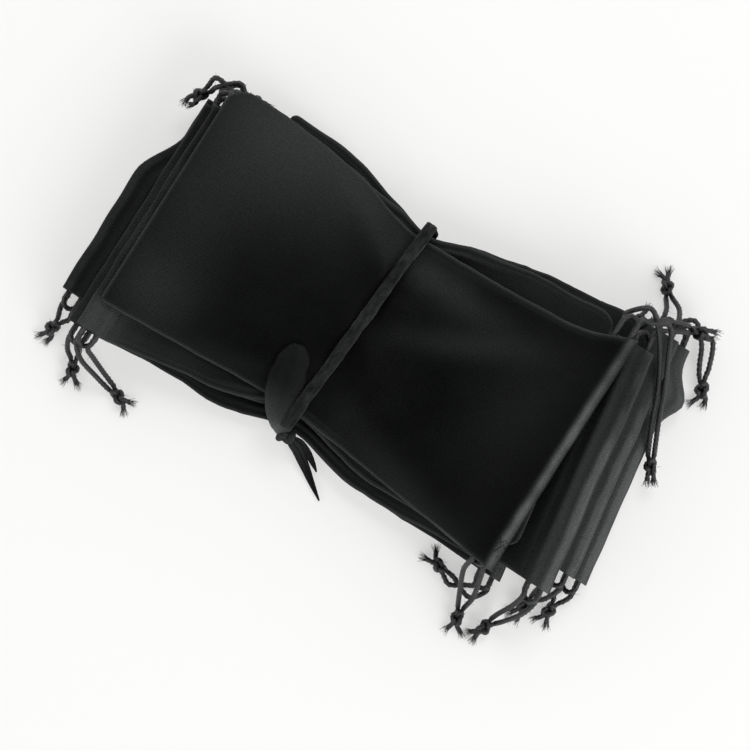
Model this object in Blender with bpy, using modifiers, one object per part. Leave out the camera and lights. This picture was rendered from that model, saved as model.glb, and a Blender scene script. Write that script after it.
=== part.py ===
"""Bundle of eight flat drawstring pouches, tied round the middle with a strip of cloth.

Lengths are millimetres until they reach a mesh, where MM turns them into metres.
The pouches lie flat along X, z = 0 is the table, and the tie crosses them at TIE.
Five pouches have their mouth at +X and three at -X. Each is a back panel and a front
panel, each with a hem round the drawstrings. Each pouch has two drawstrings, which run
through both hems and are knotted outside one side seam, and slide along the hems.
"""
import math
from collections import namedtuple

import bmesh
import bpy
from mathutils import Matrix, Vector

MM = 0.001

# Pouch
POUCH_LENGTH = 184.0
POUCH_WIDTH = 100.0
CLOTH = 0.4             # one layer of cloth
CORD = 2.1              # drawstring diameter
GAP = 0.3               # least space between two touching pieces
CHANNEL = CORD + 2 * GAP
HEM = CHANNEL + 2 * CLOTH
HEM_DEPTH = 12.0        # from the mouth to the hem's stitches
HEM_RAMP = 4.0          # cloth closing down on the stitches
LANES = (3.3, 9.0)      # the two strings in each hem, from the mouth
CORNER = 4.0            # cut of a pouch's closed corners
ORIGIN = (11.6, -6.4)    # plan centre of the bundle, from the tie

# How the pile lies
SLANT = 0.149           # lower mouths at +X are skewed by this much per unit of y
LOOSE_GAP = 0.5         # space between layers away from the tie
SLOPE = 0.4             # steepest drape over what lies below
WAIST_PINCH = 0.19      # share of the width lost under the tie
WAIST_REACH = 32.0      # how far from the tie the pinch fades
END_STEP = 3.0          # grid spacing at the two ends
MIDDLE = (0, 9, 18, 30, 45)
ENDS_FROM = 60
ENDS_TO = 132

Pouch = namedtuple("Pouch", "name side mouth y_left y_tie y_right")
POUCHES = (
    Pouch("pouch_1", 1, 90.0, -5.0, -7.0, -9.0),
    Pouch("pouch_2", -1, 105.0, -3.0, -6.0, -5.0),
    Pouch("pouch_3", 1, 122.0, -4.0, -9.0, 8.0),
    Pouch("pouch_4", -1, 99.0, -12.0, -10.0, -6.0),
    Pouch("pouch_5", 1, 115.5, 4.0, -1.0, 8.0),
    Pouch("pouch_6", 1, 108.0, -2.0, -4.0, -2.0),
    Pouch("pouch_7", -1, 95.0, -11.0, -1.0, 5.0),
    Pouch("pouch_8", 1, 92.0, 0.0, 0.5, 0.0),
)

# Tie
TIE_WIDTH = 5.0
TIE_CLOTH = 0.8
TIE_TURN = math.radians(-3.5)
TIE_SIDES = (-51.6, 43.8)       # inner faces, in y
TIE_BEND = 2.5                  # inner radius at the four corners
UNDER_TIE = 1.3                 # how far the tie under the pile lifts it
TIE_KNOT = (4.0, 2.0, 4.2)      # half sizes
TIE_KNOT_HEIGHT = 8.5
FLAP_RISE = 1.2                 # the flap over the top panel
FLAP = (((-7.9, -54.8, 14.5), 2.0), ((-9.2, -53.6, -1.5), 3.0), ((-11.4, -50, 0), 4.3),
        ((-13.4, -43, 0.4), 6.6), ((-15.2, -34, 0.4), 6.8), ((-17.2, -26.5, 0.4), 4.5),
        ((-18.4, -22, 0.4), 0.8))
TAIL = (((0.8, -57.0, 8.0), 1.8), ((4.2, -58.6, 5.0), 2.1), ((9.5, -62, 2.2), 1.8),
        ((15.5, -66.3, 0.9), 1.2), ((21.5, -70.3, 0.7), 0.5))

# Drawstrings
STRING_SLACK = 2.0              # travel before the loop meets the side seam
LOOP_OFF = 0.5                  # what is left between them at the end of the travel
LEG_STEP = 3.0                  # route spacing
KNOT = (3.6, 2.9, 2.5)          # half sizes: along the string, across, up
CLEAR = 6.6                     # legs run straight this far, past the other string's loop
TAIL_LENGTH = 4.5
TAIL_SPREAD = math.radians(22)


def smooth(t):
    t = min(max(t, 0.0), 1.0)
    return t * t * (3 - 2 * t)


def stations():
    steps = int((ENDS_TO - ENDS_FROM) / END_STEP)
    half = list(MIDDLE) + [ENDS_FROM + END_STEP * i for i in range(steps + 1)]
    return [-float(x) for x in reversed(half[1:])] + [float(x) for x in half]


STATIONS = stations()


def along(values, x):
    """Read a height that is known at the stations."""
    if x <= STATIONS[0]:
        return values[0]
    for i, right in enumerate(STATIONS[1:]):
        if x <= right:
            f = (x - STATIONS[i]) / (right - STATIONS[i])
            return values[i] + f * (values[i + 1] - values[i])
    return values[-1]


def drape(values):
    """Cloth laid over these heights, no steeper than SLOPE."""
    return [max(v - SLOPE * abs(s - t) for v, t in zip(values, STATIONS)) for s in STATIONS]


def half_width(x):
    return POUCH_WIDTH / 2 * (1 - WAIST_PINCH * math.exp(-(x / WAIST_REACH) ** 2))


def middle(pouch, x):
    end = pouch.y_left if x < 0 else pouch.y_right
    return pouch.y_tie + (end - pouch.y_tie) * smooth(abs(x) / 80)


def skew(x):
    return SLANT * smooth((x - 30) / 45)


def plan(pouch, x, y):
    """Plan position of a point at station x: the top pouch keeps a square mouth."""
    lean = 0.0 if pouch is POUCHES[-1] else skew(x)
    return x - lean * y


def edge(pouch, x, sign):
    """Plan position of a pouch's side edge, sign +1 at +Y."""
    y = middle(pouch, x) + sign * half_width(x)
    return plan(pouch, x, y), y


def thickness(pouch, x):
    inside = pouch.mouth - pouch.side * x
    if inside < HEM_DEPTH:
        return HEM
    return CLOTH + (HEM - CLOTH) * max(0.0, 1 - (inside - HEM_DEPTH) / HEM_RAMP)


class Layer:
    """One panel's underside. heights holds the two side edges' heights at each station."""

    def __init__(self, pouch, below):
        self.pouch = pouch
        self.mouth = pouch.side * pouch.mouth
        self.closed = self.mouth - pouch.side * POUCH_LENGTH
        self.hem_start = self.mouth - pouch.side * (HEM_DEPTH + HEM_RAMP)
        self.heights = below
        lines = [self.lifted(values) for values in below]
        tilt = sum(end - start for start, end in lines) / 2
        starts = [max(start, end - tilt) for start, end in lines]
        self.hem_ends = [(start, start + tilt) for start in starts]

    def lifted(self, values):
        """A hem is stiff, so it lies as a straight line above everything below it."""
        start, end = along(values, self.hem_start), along(values, self.mouth)
        lift = 0.0
        for s in STATIONS:
            f = (s - self.hem_start) / (self.mouth - self.hem_start)
            if 0 < f < 1:
                lift = max(lift, along(values, s) - start - f * (end - start))
        return start + lift, end + lift

    def height(self, x, sign):
        index = (sign + 1) // 2
        f = (x - self.hem_start) / (self.mouth - self.hem_start)
        if f <= 0:
            return along(self.heights[index], x)
        start, end = self.hem_ends[index]
        return start + f * (end - start)

    def covers(self, x):
        return min(self.mouth, self.closed) <= x <= max(self.mouth, self.closed)

    def tops(self, before, sign):
        """Highest point near each station once this panel is laid."""
        result = []
        for i, old in enumerate(before):
            low = STATIONS[max(i - 1, 0)]
            high = STATIONS[min(i + 1, len(STATIONS) - 1)]
            spots = [low + (high - low) * q / 12 for q in range(13)]
            own = [self.height(x, sign) + 1.04 * thickness(self.pouch, x) for x in spots if self.covers(x)]
            result.append(max([old] + own))
        return result


def loose(values):
    room = []
    for top, s in zip(values, STATIONS):
        room.append(top + GAP + (LOOSE_GAP - GAP) * smooth((abs(s) - 12) / 50) if top > 0 else 0.0)
    return drape(room)


def crossing(tops):
    """Heights under the top pouch's two edges: its columns cross the slanted stations."""
    sides = []
    for sign in (-1, 1):
        values = []
        for s in STATIONS:
            shift = sign * skew(s) * POUCH_WIDTH / 2
            values.append(along(tops, s + shift))
        sides.append(values)
    for i, s in enumerate(STATIONS):
        lift = 0.0
        for q in range(-10, 11):
            f = (q + 10) / 20
            x = s + skew(s) * POUCH_WIDTH / 2 * q / 10
            line = sides[0][i] + f * (sides[1][i] - sides[0][i])
            reach = END_STEP if skew(s) else 0.0
            need = max(along(tops, x - reach), along(tops, x), along(tops, x + reach))
            lift = max(lift, need - line)
        sides[0][i] += lift
        sides[1][i] += lift
    return sides


def stack():
    """Lay the panels from the table up. Returns {node name: Layer}."""
    layers = {}
    tops = [UNDER_TIE if abs(s) <= MIDDLE[1] else 0.0 for s in STATIONS]
    under = drape(tops)
    for pouch in POUCHES[:-1]:
        for panel in ("back", "front"):
            layer = Layer(pouch, (under, under))
            layers[f"{pouch.name}_{panel}_panel"] = layer
            tops = layer.tops(tops, -1)
            under = loose(tops)
    top = POUCHES[-1]
    back = Layer(top, crossing(under))
    front = Layer(top, [loose(back.tops([0.0] * len(STATIONS), sign)) for sign in (-1, 1)])
    layers[f"{top.name}_back_panel"] = back
    layers[f"{top.name}_front_panel"] = front
    return layers


LAYERS = stack()


def new_collection(name):
    collection = bpy.data.collections.new(name)
    bpy.context.scene.collection.children.link(collection)
    return collection


def material(name, colour, roughness):
    made = bpy.data.materials.new(name)
    made.use_nodes = True
    shader = made.node_tree.nodes["Principled BSDF"]
    shader.inputs["Base Color"].default_value = (*colour, 1.0)
    shader.inputs["Roughness"].default_value = roughness
    shader.inputs["Metallic"].default_value = 0.0
    return made


def place(name, data, finish, origin=(0, 0, 0), parent=None):
    made = bpy.data.objects.new(name, data)
    data.materials.append(finish)
    BUNDLE.objects.link(made)
    made.parent = parent or FRAME
    made.location = Vector(origin) * MM
    return made


def empty(name, spot, parent=None):
    made = bpy.data.objects.new(name, None)
    BUNDLE.objects.link(made)
    made.parent = parent
    made.location = Vector(spot) * MM
    return made


def panel_columns(layer, front):
    """The panel's cross-section along X as (x, height of the cloth's middle above the layer)."""
    side, mouth = layer.pouch.side, layer.mouth
    low, high = CLOTH / 2, HEM - CLOTH / 2
    outer, inner = (high, low) if front else (low, high)
    body = [s for s in STATIONS
            if (layer.hem_start - s) * side > 1 and (s - layer.closed) * side > CORNER + 1]
    if side < 0:
        body.reverse()
    columns = [(layer.closed, low), (layer.closed + side * CORNER, low)]
    columns += [(x, low) for x in body] + [(layer.hem_start, low)]
    columns.append((mouth - side * HEM_DEPTH, outer))
    radius = (high - low) / 2
    centre = mouth - side * (CLOTH / 2 + radius)
    for turn in range(5):
        angle = math.pi * turn / 4
        z = (low + high) / 2 + math.copysign(radius, outer - inner) * math.cos(angle)
        columns.append((centre + side * radius * math.sin(angle), z))
    columns.append((mouth - side * HEM_DEPTH, inner))
    last = HEM_DEPTH + 0.4 * HEM_RAMP
    columns.append((mouth - side * last, inner if front else high - 0.4 * (high - low)))
    return columns


def panel(name, layer, finish):
    columns = panel_columns(layer, name.endswith("front_panel"))
    mesh = bpy.data.meshes.new(name)
    grid = bmesh.new()
    bmesh.ops.create_grid(grid, x_segments=len(columns) - 1, y_segments=1, size=1.0)
    for vertex in grid.verts:
        column = round((vertex.co.x + 1) / 2 * (len(columns) - 1))
        sign = 1 if vertex.co.y > 0 else -1
        x, rise = columns[column]
        px, py = edge(layer.pouch, x, sign)
        if column == 0:
            py -= sign * CORNER
        vertex.co = Vector((px, py, layer.height(x, sign) + rise)) * MM
    if layer.pouch.side < 0:
        bmesh.ops.reverse_faces(grid, faces=grid.faces)
    grid.to_mesh(mesh)
    grid.free()
    made = place(name, mesh, finish)
    shell = made.modifiers.new("cloth thickness", "SOLIDIFY")
    shell.thickness = CLOTH * MM
    shell.offset = 0.0
    shell.use_even_offset = True
    return made


def curve_through(points, step):
    """A smooth curve through the points, read every step."""
    ends = [2 * points[0] - points[1]] + points + [2 * points[-1] - points[-2]]
    fine = []
    for i in range(len(points) - 1):
        a, b, c, d = ends[i:i + 4]
        for q in range(16):
            t = q / 16
            fine.append(0.5 * (2 * b + (c - a) * t + (2 * a - 5 * b + 4 * c - d) * t ** 2
                               + (3 * b - a - 3 * c + d) * t ** 3))
    fine.append(points[-1])
    total = sum((b - a).length for a, b in zip(fine, fine[1:]))
    count = max(2, round(total / step))
    read, walked, index = [fine[0]], 0.0, 0
    for n in range(1, count):
        target = total * n / count
        while walked + (fine[index + 1] - fine[index]).length < target:
            walked += (fine[index + 1] - fine[index]).length
            index += 1
        span = fine[index + 1] - fine[index]
        read.append(fine[index] + span * ((target - walked) / span.length))
    return read + [fine[-1]]


# Each string's free end, from its hem outwards: points midway between its two legs,
# each with half the space between the legs. The last point is the knot's centre.
# Plan positions are from the tie, heights from the table.
FREE_ENDS = {
    "pouch_1_left": (((86.5, 51, 3.4), 2.4), ((90, 57.5, 3.0), 1.25)),
    "pouch_1_right": (((90, -69, 3.4), 2.4), ((83, -69, 3.2), 1.6), ((75.5, -66.5, 3.0), 1.25)),
    "pouch_2_left": (((-96, 56.6, 3.4), 2.2), ((-88.5, 55.5, 3.0), 1.25)),
    "pouch_2_right": (((-98.5, -62.5, 3.5), 2.4), ((-100, -69, 3.0), 1.25)),
    "pouch_3_left": (((110.5, 67.5, 4.2), 2.4), ((117.5, 65, 3.2), 2.2), ((121.5, 57, 3), 2.0),
                     ((124.5, 48, 3.0), 1.25)),
    "pouch_3_right": (((122.3, -51.5, 3.6), 2.4), ((121.5, -58, 3.0), 1.25)),
    "pouch_4_left": (((-89.5, 47, 12.5), 2.2), ((-82, 46, 11), 1.25)),
    "pouch_4_right": (((-92, -72, 8), 2.4), ((-89, -78.5, 3.0), 1.25)),
    "pouch_5_left": (((98.5, 68.5, 10), 2.5), ((92.5, 75, 3.0), 1.25)),
    "pouch_5_right": (((115, -54, 9.5), 2.5), ((112.5, -61.5, 3.0), 1.25)),
    "pouch_6_left": (((96, 58.5, 24.5), 2.4), ((101, 61.5, 23), 1.8), ((106.5, 64, 19.5), 1.4),
                     ((112, 66, 13), 1.25)),
    "pouch_6_right": (((109.5, -64, 18), 2.5), ((106.5, -70.5, 8.5), 1.8), ((103.5, -77.5, 3.0), 1.25)),
    "pouch_7_left": (((-92.5, 49.5, 21.5), 2.4), ((-99.5, 47, 20.5), 1.8), ((-103, 39.5, 16), 1.25)),
    "pouch_7_right": (((-85, -71, 20.5), 2.4), ((-77.5, -74.5, 8), 1.6), ((-68, -78, 3.0), 1.25)),
    "pouch_8_left": (((91.5, 60, 32.5), 2.8), ((98.5, 58.5, 30), 2.4), ((104.5, 49.5, 26), 1.6),
                     ((110.5, 39, 21.5), 1.25), ((115.5, 28, 16), 1.25), ((120, 19, 12.5), 1.25),
                     ((124.5, 11.5, 8.5), 1.25)),
    "pouch_8_right": (((86.5, -61, 26), 3.6), ((90, -70, 14), 2.8), ((92.5, -80, 3.0), 1.25)),
}


def lane_point(pouch, panel_name, lane, sign, outside):
    """Centre of a string in a hem, extended past the side edge by outside."""
    layer = LAYERS[f"{pouch.name}_{panel_name}_panel"]
    x = layer.mouth - pouch.side * lane
    rise = CLOTH + CHANNEL / 2
    ends = [Vector((*edge(pouch, x, s), layer.height(x, s) + rise)) for s in (-1, 1)]
    way = (ends[1] - ends[0]).normalized() * sign
    return ends[(sign + 1) // 2] + way * outside


def string_route(pouch, hand, sign):
    """Centre line of one drawstring, knot to knot, and its knot's frame."""
    lanes = LANES if sign > 0 else LANES[::-1]
    first = [lane_point(pouch, "front", lanes[0], s, 0) for s in (sign, -sign)]
    last = [lane_point(pouch, "back", lanes[1], s, 0) for s in (-sign, sign)]
    out = (first[0] - first[1]).normalized()
    bow = [first[1] - out * (STRING_SLACK + LOOP_OFF), last[0] - out * (STRING_SLACK + LOOP_OFF)]
    centre, spoke = (bow[0] + bow[1]) / 2, (bow[0] - bow[1]) / 2
    loop = [centre + spoke * math.cos(math.pi * i / 6) - out * spoke.length * math.sin(math.pi * i / 6)
            for i in range(7)]
    route = FREE_ENDS[f"{pouch.name}_{hand}"]
    knot = Vector(route[-1][0])
    heading = knot - Vector(route[-2][0])
    heading = Vector((heading.x, heading.y, 0)).normalized()
    legs = []
    for start, lean in ((first[0], 1), (last[1], -1)):
        points = [start, start + out * CLEAR / 2, start + out * CLEAR]
        for i, (spot, spread) in enumerate(route[:-1]):
            before = Vector(route[i - 1][0]) if i else (first[0] + last[1]) / 2
            ahead = Vector(route[i + 1][0]) - before
            across = ahead.cross(Vector((0, 0, 1))).normalized()
            points.append(Vector(spot) + across * spread * lean * leg_side(first[0], last[1], across))
        across = heading.cross(Vector((0, 0, 1))).normalized()
        side = leg_side(first[0], last[1], across)
        points.append(knot - heading * (KNOT[0] + 3 * GAP) + across * route[-1][1] * lean * side)
        legs.append(curve_through(points, LEG_STEP))
    points = legs[0][::-1] + loop + legs[1]
    return points, knot, heading, out


def leg_side(first, last, across):
    return 1 if (first - last).dot(across) >= 0 else -1


def drawstring(name, points, origin, finish, parent):
    curve = bpy.data.curves.new(name, "CURVE")
    curve.dimensions = "3D"
    curve.bevel_depth = CORD / 2 * MM
    curve.bevel_resolution = 2
    curve.use_fill_caps = True
    spline = curve.splines.new("POLY")
    spline.points.add(len(points) - 1)
    for spot, point in zip(spline.points, points):
        spot.co = (*((point - origin) * MM), 1.0)
    place(name, curve, finish, parent=parent)


def frame_along(heading, centre):
    across = Vector((0, 0, 1)).cross(heading).normalized()
    up = heading.cross(across)
    turned = Matrix((heading, across, up)).transposed().to_4x4()
    return Matrix.Translation(centre * MM) @ turned


def solid(name, matrix, build):
    mesh = bpy.data.meshes.new(name)
    shape = bmesh.new()
    build(shape, matrix)
    shape.to_mesh(mesh)
    shape.free()
    return mesh


def knot(name, centre, heading, origin, finish, parent):
    """A knot with two short tails, one solid."""
    frame = frame_along(heading, centre - origin)
    size = Matrix.Diagonal((*(k * MM for k in KNOT), 1.0))

    def ball(shape, matrix):
        bmesh.ops.create_uvsphere(shape, u_segments=8, v_segments=6, radius=1.0, matrix=matrix @ size)

    made = place(name, solid(name, frame, ball), finish, parent=parent)
    for number, lean in enumerate((-1, 1)):
        turn = Matrix.Rotation(lean * TAIL_SPREAD, 4, "Z") @ Matrix.Rotation(math.pi / 2, 4, "Y")
        shift = Matrix.Translation((0, 0, (TAIL_LENGTH / 2 + 1.5) * MM))

        def tail(shape, matrix):
            bmesh.ops.create_cone(shape, cap_ends=True, segments=6, radius1=CORD / 2 * MM,
                                  radius2=CORD / 2.4 * MM, depth=TAIL_LENGTH * MM,
                                  matrix=matrix @ turn @ shift)

        cutter_name = f"{name}_tail_{number + 1}"
        guide = bpy.data.objects.new(cutter_name, solid(cutter_name, frame, tail))
        CUTTERS.objects.link(guide)
        guide.parent = parent
        guide.hide_render = True
        guide.display_type = "WIRE"
        join = made.modifiers.new(f"tail {number + 1}", "BOOLEAN")
        join.operation = "UNION"
        join.solver = "EXACT"
        join.object = guide


def rounded_loop(low, high, radius):
    """Corners of a rounded rectangle in two coordinates."""
    points = []
    corners = ((high[0], high[1], 0), (low[0], high[1], 90), (low[0], low[1], 180), (high[0], low[1], 270))
    for cx, cy, start in corners:
        inward = (cx - math.copysign(radius, cx - (low[0] + high[0]) / 2),
                  cy - math.copysign(radius, cy - (low[1] + high[1]) / 2))
        for step in range(5):
            angle = math.radians(start + 22.5 * step)
            points.append((inward[0] + radius * math.cos(angle), inward[1] + radius * math.sin(angle)))
    return points


def tie_top():
    layer = LAYERS[f"{POUCHES[-1].name}_front_panel"]
    return max(layer.height(x, sign) for x in MIDDLE[:2] for sign in (-1, 1)) + CLOTH


def tie_band(finish):
    curve = bpy.data.curves.new("tie_band", "CURVE")
    curve.dimensions = "2D"
    curve.fill_mode = "BOTH"
    curve.extrude = TIE_WIDTH / 2 * MM
    inner_low = (TIE_SIDES[0], GAP / 2 + TIE_CLOTH)
    inner_high = (TIE_SIDES[1], tie_top() + GAP)
    for grow, radius in ((TIE_CLOTH, TIE_BEND + TIE_CLOTH), (0.0, TIE_BEND)):
        low = [v - grow for v in inner_low]
        high = [v + grow for v in inner_high]
        spline = curve.splines.new("POLY")
        points = rounded_loop(low, high, radius)
        spline.points.add(len(points) - 1)
        spline.use_cyclic_u = True
        for spot, (y, z) in zip(spline.points, points):
            spot.co = (y * MM, z * MM, 0, 1)
    made = place("tie_band", curve, finish)
    made.rotation_euler = (Matrix.Rotation(TIE_TURN, 3, "Z")
                           @ Matrix(((0, 0, 1), (1, 0, 0), (0, 1, 0)))).to_euler()


def strip(name, spots, finish):
    """A tapered strip of tie cloth through (centre, half width) spots."""
    mesh = bpy.data.meshes.new(name)
    grid = bmesh.new()
    bmesh.ops.create_grid(grid, x_segments=len(spots) - 1, y_segments=1, size=1.0)
    centres = [Vector(spot) for spot, _ in spots]
    for vertex in grid.verts:
        n = round((vertex.co.x + 1) / 2 * (len(spots) - 1))
        ahead = centres[min(n + 1, len(spots) - 1)] - centres[max(n - 1, 0)]
        across = Vector((0, 0, 1)).cross(ahead).normalized()
        sign = 1 if vertex.co.y > 0 else -1
        vertex.co = (centres[n] + across * spots[n][1] * sign) * MM
    grid.to_mesh(mesh)
    grid.free()
    made = place(name, mesh, finish)
    shell = made.modifiers.new("cloth thickness", "SOLIDIFY")
    shell.thickness = TIE_CLOTH * MM
    shell.offset = 0.0


def tie_knot(finish):
    size = Matrix.Diagonal((*(k * MM for k in TIE_KNOT), 1.0))
    out = TIE_SIDES[0] - TIE_CLOTH - TIE_KNOT[1] - TIE_CLOTH
    centre = Matrix.Translation(Vector((-4.0, out, TIE_KNOT_HEIGHT)) * MM)

    def ball(shape, matrix):
        bmesh.ops.create_uvsphere(shape, u_segments=12, v_segments=8, radius=1.0, matrix=matrix @ size)

    place("tie_knot", solid("tie_knot", centre, ball), finish)


def build_tie(finish):
    tie_band(finish)
    tie_knot(finish)
    top = tie_top() + FLAP_RISE
    over = [((x, y, z if z > 2 else z + top), half) for (x, y, z), half in FLAP]
    strip("tie_flap", over, finish)
    strip("tie_tail", TAIL, finish)


def build_pouch(pouch, cloth, braid):
    for panel_name in ("back", "front"):
        name = f"{pouch.name}_{panel_name}_panel"
        panel(name, LAYERS[name], cloth)
    for hand, sign in (("left", 1), ("right", -1)):
        points, centre, heading, out = string_route(pouch, hand, sign)
        inner = [lane_point(pouch, side, sum(LANES) / 2, sign, 0) for side in ("front", "back")]
        origin = (inner[0] + inner[1]) / 2
        axis = empty(f"{pouch.name}_{hand}_slide", origin, FRAME)
        drawstring(f"{pouch.name}_{hand}_drawstring", points, origin, braid, axis)
        knot(f"{pouch.name}_{hand}_knot", centre, heading, origin, braid, axis)


for old in list(bpy.data.objects):
    bpy.data.objects.remove(old, do_unlink=True)
BUNDLE = new_collection("pouch_bundle")
CUTTERS = new_collection("joining_shapes")
FRAME = empty("bundle", (-ORIGIN[0], -ORIGIN[1], 0))
CLOTH_FINISH = material("pouch_cloth", (0.012, 0.012, 0.013), 0.85)
BRAID_FINISH = material("cord_braid", (0.020, 0.021, 0.022), 0.7)
TIE_FINISH = material("tie_cloth", (0.014, 0.014, 0.015), 0.85)
for each in POUCHES:
    build_pouch(each, CLOTH_FINISH, BRAID_FINISH)
build_tie(TIE_FINISH)
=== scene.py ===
"""Looks of the bundle of drawstring pouches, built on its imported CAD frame.

Lengths are millimetres from the tie, as in the CAD source, until row() turns them
into metres in the row frame. Each pouch gets two panels of cloth with stitched hems and
closed side seams, and two braided drawstrings with tied and frayed ends.
"""

import math
import random
from bisect import bisect_left
from collections import namedtuple

import bpy
from mathutils import Matrix, Vector, noise


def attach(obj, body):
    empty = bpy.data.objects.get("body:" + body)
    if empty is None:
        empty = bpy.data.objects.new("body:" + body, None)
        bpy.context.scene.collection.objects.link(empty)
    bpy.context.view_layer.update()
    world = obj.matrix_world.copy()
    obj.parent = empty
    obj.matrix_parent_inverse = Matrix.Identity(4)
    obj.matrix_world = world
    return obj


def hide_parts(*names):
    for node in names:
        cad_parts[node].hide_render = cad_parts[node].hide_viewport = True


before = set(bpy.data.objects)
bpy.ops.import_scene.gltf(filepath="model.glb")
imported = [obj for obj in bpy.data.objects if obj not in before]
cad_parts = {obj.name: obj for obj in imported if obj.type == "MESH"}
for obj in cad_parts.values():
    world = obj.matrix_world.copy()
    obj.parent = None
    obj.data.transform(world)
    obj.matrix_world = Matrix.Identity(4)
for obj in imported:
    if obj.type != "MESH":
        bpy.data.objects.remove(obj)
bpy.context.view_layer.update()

MM = 0.001
UP = Vector((0, 0, 1))

# Pouch
POUCH_LENGTH = 184.0
POUCH_WIDTH = 100.0
CLOTH = 0.4             # one layer of cloth
CORD = 2.1              # drawstring diameter
GAP = 0.3               # least space between two touching pieces
CHANNEL = CORD + 2 * GAP
HEM = CHANNEL + 2 * CLOTH
HEM_DEPTH = 12.0        # from the mouth to the hem's stitches
HEM_RAMP = 4.0          # cloth closing down on the stitches
LANES = (3.3, 9.0)      # the two strings in each hem, from the mouth
ORIGIN = (11.6, -6.4)   # plan centre of the bundle, from the tie

# How the pile lies
SLANT = 0.149           # lower mouths at +X are skewed by this much per unit of y
LOOSE_GAP = 0.5         # space between layers away from the tie
SLOPE = 0.4             # steepest drape over what lies below
WAIST_PINCH = 0.19      # share of the width lost under the tie
WAIST_REACH = 32.0      # how far from the tie the pinch fades
MIDDLE = (0, 9, 18, 30, 45)     # stations near the tie, then one every END_STEP
ENDS_FROM = 60
ENDS_TO = 132
END_STEP = 3.0

Pouch = namedtuple("Pouch", "name side mouth y_left y_tie y_right")
POUCHES = (
    Pouch("pouch_1", 1, 90.0, -5.0, -7.0, -9.0),
    Pouch("pouch_2", -1, 105.0, -3.0, -6.0, -5.0),
    Pouch("pouch_3", 1, 122.0, -4.0, -9.0, 8.0),
    Pouch("pouch_4", -1, 99.0, -12.0, -10.0, -6.0),
    Pouch("pouch_5", 1, 115.5, 4.0, -1.0, 8.0),
    Pouch("pouch_6", 1, 108.0, -2.0, -4.0, -2.0),
    Pouch("pouch_7", -1, 95.0, -11.0, -1.0, 5.0),
    Pouch("pouch_8", 1, 92.0, 0.0, 0.5, 0.0),
)

# Tie
TIE_WIDTH = 5.0
TIE_CLOTH = 0.8
TIE_TURN = math.radians(-3.5)
TIE_SIDES = (-51.6, 43.8)       # inner faces, in y

# Drawstrings
STRING_SLACK = 2.0              # travel before the loop meets the side seam
LEG_STEP = 0.5                  # route spacing
KNOT = (3.6, 2.9, 2.5)          # half sizes: along the string, across, up
CLEAR = 6.6                     # legs run straight this far, past the other string's loop
TAIL_LENGTH = 4.5
TAIL_SPREAD = math.radians(22)


def smooth(t):
    """0 below 0, 1 above 1, and a smooth step in between."""
    t = min(max(t, 0.0), 1.0)
    return t * t * (3 - 2 * t)


def read(places, values, x):
    """The value at x of values kept at rising places, held at both ends."""
    x = min(max(x, places[0]), places[-1])
    i = max(bisect_left(places, x), 1)
    f = (x - places[i - 1]) / (places[i] - places[i - 1])
    return values[i - 1] + f * (values[i] - values[i - 1])


def stations():
    """Places along X where heights are kept, on both sides of the tie."""
    count = int((ENDS_TO - ENDS_FROM) / END_STEP) + 1
    half = list(MIDDLE) + [ENDS_FROM + END_STEP * i for i in range(count)]
    return [-float(x) for x in reversed(half[1:])] + [float(x) for x in half]


STATIONS = stations()


def drape(values):
    """Cloth laid over these heights, no steeper than SLOPE."""
    return [max(v - SLOPE * abs(s - t) for v, t in zip(values, STATIONS)) for s in STATIONS]


def half_width(x):
    return POUCH_WIDTH / 2 * (1 - WAIST_PINCH * math.exp(-(x / WAIST_REACH) ** 2))


def middle(pouch, x):
    end = pouch.y_left if x < 0 else pouch.y_right
    return pouch.y_tie + (end - pouch.y_tie) * smooth(abs(x) / 80)


def skew(x):
    """Slant of the stations: how far they move along X for each unit of y."""
    return SLANT * smooth((x - 30) / 45)


def plan(pouch, x, y):
    """Plan position of a point at station x: the top pouch keeps a square mouth."""
    lean = 0.0 if pouch is POUCHES[-1] else skew(x)
    return x - lean * y


def edge(pouch, x, sign):
    """Plan position of a pouch's side edge, sign +1 at +Y."""
    y = middle(pouch, x) + sign * half_width(x)
    return plan(pouch, x, y), y


def thickness(pouch, x):
    """One panel's thickness, swelling into its hem."""
    inside = pouch.mouth - pouch.side * x
    if inside < HEM_DEPTH:
        return HEM
    return CLOTH + (HEM - CLOTH) * max(0.0, 1 - (inside - HEM_DEPTH) / HEM_RAMP)


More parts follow.
